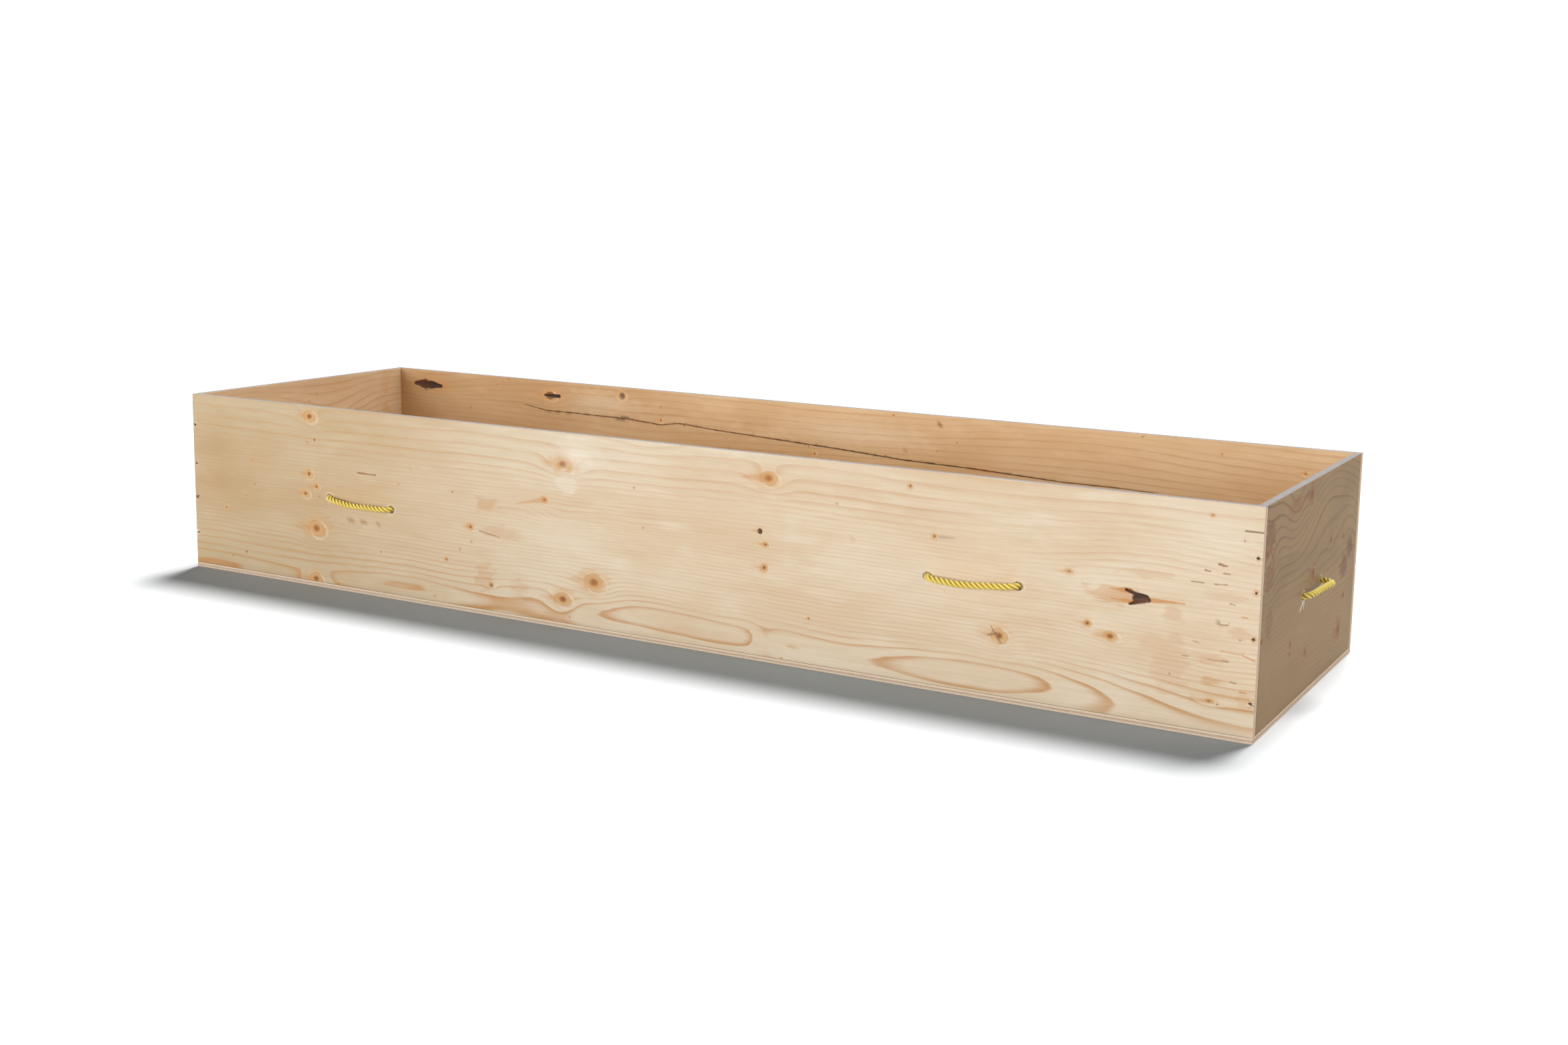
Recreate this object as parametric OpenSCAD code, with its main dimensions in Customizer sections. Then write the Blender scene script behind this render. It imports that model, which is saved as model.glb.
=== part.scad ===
// Plain pine plywood coffin box: four walls on a base board, screwed at the
// corners, with six knotted rope handles. The lid is not part of it.
// Millimetres. The origin is the middle of the underside, X runs along the
// length, the front is at -Y and Z points up.

/* [Box] */
// Length over the end boards
coffin_l = 2134; // [1500:1:2400]
// Width over the long sides
coffin_w = 610; // [450:1:800]
// Height from the ground to the rim
coffin_h = 349; // [280:1:500]
// Thickness of the four wall boards
wall_t = 12.7; // [10:0.1:20]
// Thickness of the base board
base_t = 9.5; // [6:0.1:20]

/* [Rope handles] */
// From the middle of the coffin to the middle of each long-side handle
handle_reach = 626; // [250:1:650]
// Height of the long-side handles above the ground
side_handle_h = 180; // [120:1:200]
// Height of the end handles above the ground
end_handle_h = 173; // [120:1:200]
// Diameter of the laid rope
rope_d = 11; // [8:0.5:14]
// Gap all round the rope in its drilled hole
rope_play = 1.25; // [0.5:0.05:2.5]
// Width of the stopper knots inside the walls
knot_d = 34; // [30:1:42]
// Depth of the stopper knots, from the wall inwards
knot_l = 26; // [20:1:32]
// Length of the rope's tail past each knot
tail_l = 24; // [10:1:40]

/* [Corner screws] */
// Diameter of the shank
screw_d = 4.2; // [3:0.1:5]
// Diameter of the countersunk head
screw_head_d = 8.2; // [6.5:0.1:9.5]
// Length from the top of the head to the tip
screw_l = 38; // [30:1:60]
// Depth of the head below the face of the board
screw_sink = 0.6; // [0.2:0.1:1.5]
// Gap all round a screw in its hole
screw_play = 0.1; // [0.05:0.05:0.3]
// Width of one slot of the cross recess in the head
recess_w = 1.1; // [0.6:0.1:1.4]
// Depth of the cross recess
recess_depth = 1.4; // [0.6:0.1:1.8]

/* [Hidden] */
$fn = 48;
// Sides of the rope's plain tube
tube_sides = 10;
// Degrees that a tail hangs below the level of its knot
tail_droop = 35;
// Rounding of a knot's rims
knot_rim_r = 8;
// Length of a screw's pointed tip, and the width left at its end
tip_l = 6;
tip_end_d = 0.4;
// Slight overlap that joins two cuts
tiny = 0.01;

wall_h = coffin_h - base_t;
end_board_w = coffin_w - 2 * wall_t;
rope_hole_d = rope_d + 2 * rope_play;
screw_inset = wall_t / 2;
screw_x = coffin_l / 2 - screw_inset;
head_cone_l = (screw_head_d - screw_d) / 2;

// Rope routes outside the wall, in three numbers a point: along the board, out
// from its face and up. A hole is drilled where a route starts and ends.
side_route = [
    [-76, 1, 0], [-74, 6, 0], [-67, 10, -1], [-52, 12, -2], [-27, 13, -4], [0, 13, -4],
    [27, 13, -2], [52, 12, -1], [67, 10, 0], [74, 6, 0], [76, 1, 0]
];
end_route = [
    [-55, 1, 0], [-53, 6, 0], [-46, 10, 1], [-30, 13, 1], [-8, 15, 1], [14, 18, 1],
    [32, 21, 1], [45, 21, 0], [53, 14, 0], [55, 6, 0]
];

// Faces of the box, numbered round from the front; seen from outside, a
// handle's own X runs to the right and its own Y runs into the board.
FRONT = 0;
RIGHT = 1;
BACK = 2;
LEFT = 3;

// Each handle: name, face, place along the face, height, tilt, route. The holes
// are drilled by hand, so each pair stands a few millimetres off its nominal place.
HANDLES = [
    ["front_left_handle", FRONT, -handle_reach - 5, side_handle_h - 6, -2.8, side_route],
    ["front_right_handle", FRONT, handle_reach - 5, side_handle_h + 5, 1.4, side_route],
    ["back_left_handle", BACK, handle_reach + 2, side_handle_h + 2, 0.8, side_route],
    ["back_right_handle", BACK, -handle_reach + 4, side_handle_h - 3, -1.2, side_route],
    ["right_end_handle", RIGHT, 0, end_handle_h, 2.4, end_route],
    ["left_end_handle", LEFT, 0, end_handle_h + 2, -1, end_route]
];

// Heights of the screws up the wall, as shares of the wall's height
even_levels = [0.18, 0.39, 0.59, 0.82];
uneven_levels = [0.15, 0.43, 0.63, 0.78];

// Each corner: name, face its screws enter, end of the box, heights
CORNERS = [
    ["front_left", FRONT, -1, even_levels],
    ["front_right", FRONT, 1, uneven_levels],
    ["back_left", BACK, -1, uneven_levels],
    ["back_right", BACK, 1, even_levels]
];

pine = [0.87, 0.76, 0.58];
yellow = [0.95, 0.80, 0.15];
steel = [0.62, 0.60, 0.56];

function screw_name(corner, i) = str(corner[0], "_screw_", i + 1);
function screw_height(level) = base_t + level * wall_h;
function face_out(face) = face % 2 == 0 ? coffin_w / 2 : coffin_l / 2;
function unit(v) = v / norm(v);

// Puts its children in a face's own frame, with Z still measured from the ground
module on_face(face) {
    rotate([0, 0, 90 * face]) translate([0, -face_out(face), 0]) children();
}

// Puts its children at the middle of a handle
module at_handle(h) {
    on_face(h[1]) translate([h[2], 0, h[3]]) rotate([0, -h[4], 0]) children();
}

// A length along Y, from the face into the board
module into_board() {
    rotate([-90, 0, 0]) children();
}

// ---- boards ----

module rope_holes(face) {
    for (h = HANDLES)
        if (h[1] == face)
            at_handle(h)
                for (p = [h[5][0], h[5][len(h[5]) - 1]])
                    translate([p.x, -1, p.z]) into_board() cylinder(d = rope_hole_d, h = wall_t + 2);
}

// The countersunk way through a long side and on into the end board's edge
module screw_hole() {
    into_board() {
        translate([0, 0, -1]) cylinder(d = screw_head_d + 2 * screw_play, h = 1 + screw_sink + tiny);
        translate([0, 0, screw_sink])
            cylinder(
                d1 = screw_head_d + 2 * screw_play,
                d2 = screw_d + 2 * screw_play,
                h = head_cone_l + screw_play
            );
        cylinder(d = screw_d + 2 * screw_play, h = screw_sink + screw_l + 1);
    }
}

module at_screw(corner, i) {
    // On the back face the box's two ends change hands
    hand = corner[1] == FRONT ? 1 : -1;
    on_face(corner[1])
        translate([hand * corner[2] * screw_x, 0, screw_height(corner[3][i])])
            children();
}

module screw_holes() {
    for (c = CORNERS)
        for (i = [0:len(c[3]) - 1])
            at_screw(c, i) screw_hole();
}

module base() {
    color(pine)
        translate([-coffin_l / 2, -coffin_w / 2, 0])
            cube([coffin_l, coffin_w, base_t]);
}

module long_side(face) {
    color(pine)
        difference() {
            on_face(face)
                translate([-coffin_l / 2, 0, base_t])
                    cube([coffin_l, wall_t, wall_h]);
            rope_holes(face);
            screw_holes();
        }
}

module end_board(face) {
    color(pine)
        difference() {
            on_face(face)
                translate([-end_board_w / 2, 0, base_t])
                    cube([end_board_w, wall_t, wall_h]);
            rope_holes(face);
            screw_holes();
        }
}

// ---- rope handles ----

// The rope's middle line, from inside one knot to inside the other
function whole_route(route) =
    let (first = route[0], last = route[len(route) - 1], back = -wall_t - knot_l / 2)
    concat([[first.x, back, first.z]], route, [[last.x, back, last.z]]);

function direction(points, i) =
    unit(points[min(i + 1, len(points) - 1)] - points[max(i - 1, 0)]);

function ring(centre, along) =
    let (across = unit(cross(along, [0, 0, 1])), over = cross(across, along))
    [for (k = [0:tube_sides - 1])
        let (a = 360 * k / tube_sides)
        centre + rope_d / 2 * (cos(a) * across + sin(a) * over)];

module rope_tube(points) {
    last = len(points) - 1;
    rings = [for (i = [0:last]) each ring(points[i], direction(points, i))];
    walls = [for (i = [0:last - 1], k = [0:tube_sides - 1])
        let (next = (k + 1) % tube_sides, a = i * tube_sides, b = a + tube_sides)
        each [[a + k, b + next, b + k], [a + k, a + next, b + next]]];
    first_cap = [for (k = [tube_sides - 1:-1:0]) k];
    last_cap = [for (k = [0:tube_sides - 1]) last * tube_sides + k];
    polyhedron(rings, concat([first_cap], walls, [last_cap]));
}

// A stopper knot flat against the wall's inner face, and the rope's tail
module knot() {
    into_board() {
        rotate_extrude() {
            square([knot_d / 2 - knot_rim_r, knot_l]);
            translate([0, knot_rim_r]) square([knot_d / 2, knot_l - 2 * knot_rim_r]);
            for (z = [knot_rim_r, knot_l - knot_rim_r])
                translate([knot_d / 2 - knot_rim_r, z]) circle(knot_rim_r);
        }
        translate([0, 0, knot_l - knot_rim_r])
            rotate([-tail_droop, 0, 0])
                cylinder(d = rope_d, h = knot_rim_r + tail_l);
    }
}

module rope_handle(h) {
    route = h[5];
    color(yellow)
        at_handle(h) {
            rope_tube([for (p = whole_route(route)) [p.x, -p.y, p.z]]);
            for (p = [route[0], route[len(route) - 1]])
                translate([p.x, wall_t, p.z]) knot();
        }
}

// ---- screws ----

module screw() {
    color(steel)
        into_board()
            translate([0, 0, screw_sink])
                difference() {
                    union() {
                        cylinder(d1 = screw_head_d, d2 = screw_d, h = head_cone_l);
                        cylinder(d = screw_d, h = screw_l - tip_l);
                        translate([0, 0, screw_l - tip_l]) cylinder(d1 = screw_d, d2 = tip_end_d, h = tip_l);
                    }
                    for (a = [0, 90])
                        rotate([0, 0, a])
                            translate([-screw_head_d / 4, -recess_w / 2, -1])
                                cube([screw_head_d / 2, recess_w, 1 + recess_depth]);
                }
}

base();
long_side(FRONT);  // front_side
long_side(BACK);  // back_side
end_board(LEFT);  // left_end
end_board(RIGHT);  // right_end
for (h = HANDLES)
    rope_handle(h);
for (c = CORNERS)
    for (i = [0:len(c[3]) - 1])
        at_screw(c, i) screw();
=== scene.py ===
import math
import bmesh
import bpy
import numpy as np
from mathutils import Matrix, Vector


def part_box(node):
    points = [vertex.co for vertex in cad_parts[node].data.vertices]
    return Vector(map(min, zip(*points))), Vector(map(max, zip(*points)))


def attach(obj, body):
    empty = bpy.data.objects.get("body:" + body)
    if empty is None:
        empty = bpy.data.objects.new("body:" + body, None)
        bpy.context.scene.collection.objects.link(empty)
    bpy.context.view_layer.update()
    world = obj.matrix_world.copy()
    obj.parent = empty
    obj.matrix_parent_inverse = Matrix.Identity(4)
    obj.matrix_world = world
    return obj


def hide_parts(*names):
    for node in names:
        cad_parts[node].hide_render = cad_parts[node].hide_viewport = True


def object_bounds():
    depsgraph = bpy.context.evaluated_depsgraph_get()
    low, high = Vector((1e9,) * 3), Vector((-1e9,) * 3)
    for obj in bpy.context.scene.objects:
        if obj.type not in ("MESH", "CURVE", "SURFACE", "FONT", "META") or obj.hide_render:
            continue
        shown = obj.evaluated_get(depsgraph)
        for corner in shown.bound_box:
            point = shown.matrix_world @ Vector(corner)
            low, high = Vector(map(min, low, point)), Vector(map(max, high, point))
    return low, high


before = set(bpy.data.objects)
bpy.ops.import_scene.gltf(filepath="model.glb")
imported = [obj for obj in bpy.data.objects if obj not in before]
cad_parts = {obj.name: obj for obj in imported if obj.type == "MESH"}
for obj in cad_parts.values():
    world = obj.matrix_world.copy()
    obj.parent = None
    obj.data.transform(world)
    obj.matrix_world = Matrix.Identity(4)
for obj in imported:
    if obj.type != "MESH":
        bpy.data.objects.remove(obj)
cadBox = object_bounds()
mm = 0.001
print("frame loaded")


def tint(red, green, blue):  # a screen colour, 0 to 255, as the linear one that shaders take
    return tuple(((v / 255 + 0.055) / 1.055) ** 2.4 for v in (red, green, blue)) + (1.0,)


def tintAll(tones):
    return {key: tint(*tone) for key, tone in tones.items()}


# ---- camera ----
cameraLook = {
    "place": (1.7335, -2.8556, 0.8149),
    "turn": 29.624,  # degrees round from straight at the front
    "dip": 8.939,  # degrees below level
    "roll": 0.944,
    "lens": 42.096,
    "lift": -0.044,
}


def placeCamera(look):
    data = bpy.data.cameras.new("viewCamera")
    data.lens = look["lens"]
    data.shift_y = look["lift"]
    data.clip_end = 100
    camera = bpy.data.objects.new("viewCamera", data)
    turned = Matrix.Rotation(math.radians(look["turn"]), 4, "Z")
    dipped = Matrix.Rotation(math.radians(90 - look["dip"]), 4, "X")
    rolled = Matrix.Rotation(math.radians(look["roll"]), 4, "Z")
    camera.matrix_world = Matrix.Translation(look["place"]) @ turned @ dipped @ rolled
    bpy.context.scene.collection.objects.link(camera)
    bpy.context.scene.camera = camera


placeCamera(cameraLook)
print("camera placed")


# ---- small helpers for meshes and materials ----
def newPiece(name, mesh, slotName, *nodes):
    piece = bpy.data.objects.new(name, mesh)
    bpy.context.scene.collection.objects.link(piece)
    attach(piece, "root")
    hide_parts(*nodes)
    return piece


def smoothShade(mesh, degrees):
    mesh.shade_smooth()
    mesh.set_sharp_from_angle(angle=math.radians(degrees))


def newTree(name):
    material = bpy.data.materials.new(name)
    material.use_nodes = True
    material.node_tree.nodes.clear()
    return material, material.node_tree


def put(tree, kind, sockets=(), **settings):
    made = tree.nodes.new("ShaderNode" + kind)
    for key, value in settings.items():
        setattr(made, key, value)
    for key, value in dict(sockets).items():
        if isinstance(value, bpy.types.NodeSocket):
            tree.links.new(value, made.inputs[key])
        else:
            made.inputs[key].default_value = value
    return made


def sums(tree, operation, first, second=0.0, third=0.0, clamp=False):
    made = put(tree, "Math", {0: first, 1: second, 2: third}, operation=operation, use_clamp=clamp)
    return made.outputs[0]


def times(tree, first, second):
    return sums(tree, "MULTIPLY", first, second)


def ease(tree, value, start, end, low=0.0, high=1.0):  # a smooth step from start to end
    sockets = {"Value": value, "From Min": start, "From Max": end, "To Min": low, "To Max": high}
    return put(tree, "MapRange", sockets, interpolation_type="SMOOTHSTEP").outputs[0]


def mixed(tree, amount, under, over, way="MIX"):
    sockets = {0: amount, 6: under, 7: over}
    return put(tree, "Mix", sockets, data_type="RGBA", blend_type=way).outputs[2]


def noise(tree, place, stretch, detail=3.0, rough=0.55, bend=0.0):
    scaled = put(tree, "Mapping", {"Vector": place, "Scale": stretch}).outputs[0]
    sockets = {"Vector": scaled, "Scale": 1.0, "Detail": detail, "Roughness": rough, "Distortion": bend}
    return put(tree, "TexNoise", sockets).outputs[0]


def closeTree(tree, shader):
    output = put(tree, "OutputMaterial", {"Surface": shader.outputs[0]})
    output.is_active_output = True


# ---- rope handles ----
ropeLook = {
    "width": 11 * mm,
    "layLength": 26.5 * mm,  # one turn of a strand round the rope
    "strandShare": 0.464,  # radius of a strand against the rope's
    "lobePoints": 12,
    "ringStep": 1.5 * mm,
    "wall": 12.7 * mm,
    "tail": 26 * mm,
    "tailDroop": 52,  # degrees
    "knotSteps": 900,
    "knotPoints": 84,
    "knotRope": 15.6,  # length of the knotted stretch, in rope widths
    "knotPull": 5.9,  # distance between its ends, in rope widths
    "knotEase": 0.25,  # share of each bend that a step evens out
    "knotPush": 0.175,  # share of an overlap that a step undoes
    "knotNear": 1.55,  # points closer along the rope than this don't push each other
    "rollSpread": 0.7,  # how far the knots are turned from each other, in radians
    "tailTurn": 0.16,  # how fast the tail turns down
    "tipLength": 2.2 * mm,  # the melted tip, drawn in by tipShrink and ending in a low point
    "tipShrink": 0.28,
    "tipPoint": 1.2 * mm,
    "seed": 11,
}

# where each rope runs outside its wall, in three numbers a point: along, out, up
sideRoute = [
    (-0.076, 0.001, 0), (-0.074, 0.006, 0), (-0.067, 0.010, -0.001), (-0.052, 0.012, -0.002),
    (-0.027, 0.013, -0.004), (0, 0.013, -0.004), (0.027, 0.013, -0.002), (0.052, 0.012, -0.001),
    (0.067, 0.010, 0), (0.074, 0.006, 0), (0.076, 0.001, 0),
]
endRoute = [
    (-0.055, 0.001, 0), (-0.053, 0.006, 0), (-0.046, 0.010, 0.001), (-0.030, 0.013, 0.001),
    (-0.008, 0.015, 0.001), (0.014, 0.018, 0.001), (0.032, 0.021, 0.001), (0.045, 0.021, 0),
    (0.053, 0.014, 0), (0.055, 0.006, 0),
]

# quarter turns round the box from the front, place along the face, height, tilt in degrees
handlePlaces = {
    "front_left_handle": (0, -0.631, 0.174, -2.8, sideRoute),
    "front_right_handle": (0, 0.621, 0.185, 1.4, sideRoute),
    "back_left_handle": (2, 0.628, 0.182, 0.8, sideRoute),
    "back_right_handle": (2, -0.622, 0.177, -1.2, sideRoute),
    "right_end_handle": (1, 0, 0.173, 2.4, endRoute),
    "left_end_handle": (3, 0, 0.175, -1, endRoute),
}


def handleMatrix(quarter, along, height, tilt):
    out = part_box("base")[1][1 - quarter % 2]
    face = Matrix.Rotation(math.radians(90 * quarter), 4, "Z") @ Matrix.Translation((0, -out, 0))
    return face @ Matrix.Translation((along, 0, height)) @ Matrix.Rotation(math.radians(-tilt), 4, "Y")


def knotLine(look):
    # a loose overhand knot in rope one wide, pulled until its turns bear on each other
    count = look["knotPoints"]
    t = np.linspace(-2.35, 2.35, 600)
    line = np.stack([(t ** 5 - 10 * t) * 0.15, (t ** 3 - 3 * t) * 0.8, (t ** 4 - 4 * t ** 2) * 0.55], 1)
    line = evenly(line, count)
    line -= (line[0] + line[-1]) / 2
    along = line[-1] / np.linalg.norm(line[-1])
    side = np.cross((0, 0, 1), along)
    side /= np.linalg.norm(side)
    line = line @ np.stack([along, side, np.cross(along, side)], 1)
    firstLength = np.linalg.norm(np.diff(line, axis=0), axis=1).sum()
    firstGap = line[-1, 0] - line[0, 0]
    i, j = np.triu_indices(count, 1)
    for step in range(look["knotSteps"]):
        done = step / look["knotSteps"]
        gap = firstGap + (look["knotPull"] - firstGap) * min(1, done / 0.8)
        link = (firstLength + (look["knotRope"] - firstLength) * min(1, done / 0.35)) / (count - 1)
        line[0] = (-gap / 2, 0, 0)
        line[-1] = (gap / 2, 0, 0)
        line[[1, -2], 1:] *= 0.5
        line[1:-1] += look["knotEase"] * ((line[:-2] + line[2:]) / 2 - line[1:-1])
        apart = (j - i) * link > look["knotNear"]
        near, far = i[apart], j[apart]
        for again in range(3):
            across = line[far] - line[near]
            reach = np.linalg.norm(across, axis=1)
            hit = reach < 1
            push = across[hit] / reach[hit, None] * (look["knotPush"] * (1 - reach[hit]))[:, None]
            np.add.at(line, far[hit], push)
            np.add.at(line, near[hit], -push)
            for first in (0, 1):
                a = np.arange(first, count - 1, 2)
                across = line[a + 1] - line[a]
                reach = np.linalg.norm(across, axis=1, keepdims=True)
                fix = across / reach * (reach - link) / 2
                line[a] += fix
                line[a + 1] -= fix
    return line


def evenly(line, count):
    steps = np.linalg.norm(np.diff(line, axis=0), axis=1)
    along = np.concatenate([[0], np.cumsum(steps)])
    at = np.linspace(0, along[-1], count)
    return np.stack([np.interp(at, along, line[:, k]) for k in range(3)], 1)


def rounded(line, passes):  # evens out the corners of a line and keeps its ends
    for again in range(passes):
        line[1:-1] = (line[:-2] + 2 * line[1:-1] + line[2:]) / 4
    return line


def endStretch(knot, side, roll, look):
    # from the hole's inner mouth through the knot to the tail's tip: along, inwards, up
    width = look["width"]
    turnedKnot = knot.copy()
    c, s = math.cos(roll), math.sin(roll)
    turnedKnot[:, 1:] = knot[:, 1:] @ np.array([[c, s], [-s, c]])
    ends = len(knot) // 5
    body = turnedKnot[ends:-ends]
    turnedKnot[:, 1:] -= body[:, 1:].mean(0)
    seat = body[:, 0].min() - 0.5
    shown = (turnedKnot[:, 0] > seat + 0.05) & (turnedKnot[:, 0] < body[:, 0].max() + 0.4)
    inside = turnedKnot[shown]
    gone = np.linalg.norm(inside - inside[0], axis=1)
    inside[:, 1:] *= np.clip(gone, 0, 1)[:, None]  # it comes straight out of the hole
    points = np.stack([inside[:, 1], inside[:, 0] - seat, inside[:, 2]], 1) * width
    points[:, 1] += look["wall"]
    # the tail droops out of the knot
    heading = points[-1] - points[-2]
    heading /= np.linalg.norm(heading)
    droop = math.radians(look["tailDroop"])
    down = np.array([0, math.cos(droop), -math.sin(droop)])
    tail = [points[-1]]
    for step in range(int(look["tail"] / look["ringStep"])):
        heading = heading + (down - heading) * look["tailTurn"]
        heading /= np.linalg.norm(heading)
        tail.append(tail[-1] + heading * look["ringStep"])
    points = np.concatenate([points, tail[1:]])
    points[:, [0, 2]] += (side, 0)
    return points


def ropeLine(route, rolls, look):
    # the whole rope from tail tip to tail tip, in the handle's own place: along, into the board, up
    outside = np.array([(p[0], -p[1], p[2]) for p in route])
    outside = rounded(evenly(outside, 120), 12)
    first = endStretch(ropeKnot, outside[0, 0], rolls[0], look)[::-1]
    last = endStretch(ropeKnot, outside[-1, 0], rolls[1], look)
    line = np.concatenate([first, outside, last])
    line = evenly(line, 420)
    line = rounded(line, 9)
    total = np.linalg.norm(np.diff(line, axis=0), axis=1).sum()
    return evenly(line, int(total / look["ringStep"]) + 1)


def sweepRope(name, line, look):
    # three strands laid round each other, as one closed skin
    radius = look["width"] / 2
    strand = radius * look["strandShare"]
    centre = radius - strand
    lobe = math.acos(min(1, centre * math.sin(math.pi / 3) / strand))
    half = math.pi / 2 + math.pi / 3 - lobe  # a strand's arc as far as the groove
    profile = []
    for k in range(3):
        middle = 2 * math.pi * k / 3
        for p in range(look["lobePoints"]):
            a = middle - half + 2 * half * (p + 0.5) / look["lobePoints"]
            profile.append((centre * math.cos(middle) + strand * math.cos(a),
                            centre * math.sin(middle) + strand * math.sin(a)))
    profile = np.array(profile)
    count = len(profile)
    steps = np.linalg.norm(np.diff(line, axis=0), axis=1)
    along = np.concatenate([[0], np.cumsum(steps)])
    headings = np.gradient(line, axis=0)
    headings /= np.linalg.norm(headings, axis=1)[:, None]
    side = np.cross(headings[0], (0.3, 0.2, 0.9))
    mesh = bpy.data.meshes.new(name)
    bm = bmesh.new()
    uvLayer = bm.loops.layers.uv.new("UVMap")
    # groove runs from 0 on a strand's crest to 1 at the groove: the mask for the rope's painted highlight and
    # painted shade
    grooveLayer = bm.verts.layers.float.new("groove")
    grooves = [abs(2 * (p + 0.5) / look["lobePoints"] - 1) for p in range(look["lobePoints"])] * 3
    rings = []
    angles = []
    for n, (point, heading) in enumerate(zip(line, headings)):
        side = side - heading * side.dot(heading)
        side /= np.linalg.norm(side)
        over = np.cross(heading, side)
        fromTip = min(along[n], along[-1] - along[n])
        size = 1 - look["tipShrink"] * max(0, 1 - fromTip / look["tipLength"]) ** 2
        twist = 2 * math.pi * along[n] / look["layLength"]
        c, s = math.cos(twist), math.sin(twist)
        turnedX = (profile[:, 0] * c - profile[:, 1] * s) * size
        turnedY = (profile[:, 0] * s + profile[:, 1] * c) * size
        ring = point + turnedX[:, None] * side + turnedY[:, None] * over
        rings.append([bm.verts.new(p) for p in ring])
        for vert, groove in zip(rings[-1], grooves):
            vert[grooveLayer] = groove
        angles.append(np.unwrap(np.arctan2(turnedY, turnedX)))
    for n in range(len(rings) - 1):
        for k in range(count):
            nextK = (k + 1) % count
            face = bm.faces.new((rings[n][k], rings[n][nextK], rings[n + 1][nextK], rings[n + 1][k]))
            wrap = 2 * math.pi if nextK == 0 else 0
            shift = 2 * math.pi * round((angles[n][k] - angles[n + 1][k]) / (2 * math.pi))
            corners = ((n, k, 0), (n, nextK, wrap), (n + 1, nextK, wrap + shift), (n + 1, k, shift))
            for loop, (m, q, extra) in zip(face.loops, corners):
                loop[uvLayer].uv = (along[m], (angles[m][q] + extra) * radius)
    for ring, heading in ((rings[0], -headings[0]), (rings[-1], headings[-1])):
        cap = bm.faces.new(ring)
        tip = bmesh.ops.poke(bm, faces=[cap])["verts"][0]
        tip.co += Vector(heading) * look["tipPoint"]
    bmesh.ops.recalc_face_normals(bm, faces=bm.faces)
    bm.to_mesh(mesh)
    bm.free()
    smoothShade(mesh, 80)
    return mesh


# the crest tone is a painted highlight on the strands' tops, the groove tone a painted shade between the
# strands
ropeTones = {
    "deep": (255, 220, 56), "light": (255, 243, 134), "hair": (255, 238, 150),
    "grime": (226, 186, 70), "paintedHighlight": (255, 242, 170), "groove": (172, 116, 16),
}


def ropeMaterial():
    material, tree = newTree("yellow_rope_fibre")
    paint = tintAll(ropeTones)
    uv = put(tree, "UVMap", uv_map="UVMap").outputs[0]
    place = put(tree, "TexCoord").outputs["Object"]
    yarns = noise(tree, uv, (22, 1500, 1), 2, 0.6)
    hairs = noise(tree, uv, (90, 5200, 1), 2, 0.6)
    grime = noise(tree, place, (28, 28, 28), 4, 0.6)
    base = mixed(tree, ease(tree, yarns, 0.3, 0.7), paint["deep"], paint["light"])
    base = mixed(tree, ease(tree, hairs, 0.55, 0.75, 0, 0.35), base, paint["hair"])
    base = mixed(tree, ease(tree, grime, 0.5, 0.8, 0, 0.3), base, paint["grime"])
    groove = put(tree, "Attribute", attribute_name="groove").outputs["Fac"]
    # painted highlight along the strands' crests, then painted shade down in the grooves
    base = mixed(tree, ease(tree, groove, 0.4, 0.0, 0, 0.45), base, paint["paintedHighlight"])
    base = mixed(tree, ease(tree, groove, 0.35, 1.0, 0, 0.9), base, paint["groove"])
    height = sums(tree, "ADD", yarns, times(tree, hairs, 0.6))
    bump = put(tree, "Bump", {"Height": height, "Strength": 0.6, "Distance": 0.5 * mm}).outputs[0]
    shader = put(tree, "BsdfPrincipled", {
        "Base Color": base, "Roughness": 0.48, "Normal": bump,
        "Sheen Weight": 0.25, "Sheen Roughness": 0.4, "Subsurface Weight": 0.06,
    })
    shader.inputs["Subsurface Radius"].default_value = (2 * mm, 1.4 * mm, 0.4 * mm)
    closeTree(tree, shader)
    return material


ropeKnot = knotLine(ropeLook)
ropeFibre = ropeMaterial()
ropeDraw = np.random.default_rng(ropeLook["seed"])
ropeLengths = []
for handleName, (quarter, along, height, tilt, route) in handlePlaces.items():
    rolls = ropeDraw.uniform(-ropeLook["rollSpread"], ropeLook["rollSpread"], 2) + math.pi
    placed = handleMatrix(quarter, along, height, tilt)
    localLine = ropeLine(route, rolls, ropeLook)
    worldLine = np.array([placed @ Vector(p) for p in localLine])
    ropeMesh = sweepRope(handleName, worldLine, ropeLook)
    rope = newPiece(handleName + "_rope", ropeMesh, "yellow_rope", handleName)
    rope.data.materials.append(ropeFibre)
    ropeLength = float(np.linalg.norm(np.diff(worldLine, axis=0), axis=1).sum())
    ropeLengths.append(round(ropeLength, 3))
print("ropes made, lengths", ropeLengths)

# ---- boards ----
boardLook = {
    "grid": 8,  # mm between the points of a plain stretch
    "edgeRound": 0.7,
    "plies": 5,
    "basePlies": 3,
    "ropeHole": 13.5,
    "screwSink": 0.6,
    "screwHead": 8.4,
    "screwLip": 3.4,  # torn fibres close over the head's rim and leave this opening
    "screwShank": 4.4,
    "screwDepth": 39.6,
    "splitDepth": 1.6,
    "tornHeight": 0.55,
    "knotCells": ((3.2, 4), (2.1, 2), (1.25, 1)),  # within this many knot sizes, points this far apart
    "holeReach": 17,  # points lie 1 apart this near a rope hole
    "screwReach": 10,  # and screwCell apart this near a screw
    "screwCell": 0.6,
    "drillStart": -5,  # the cutters run from outside the face
    "ropeDrill": 20,
    "drillSides": 32,
}

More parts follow.
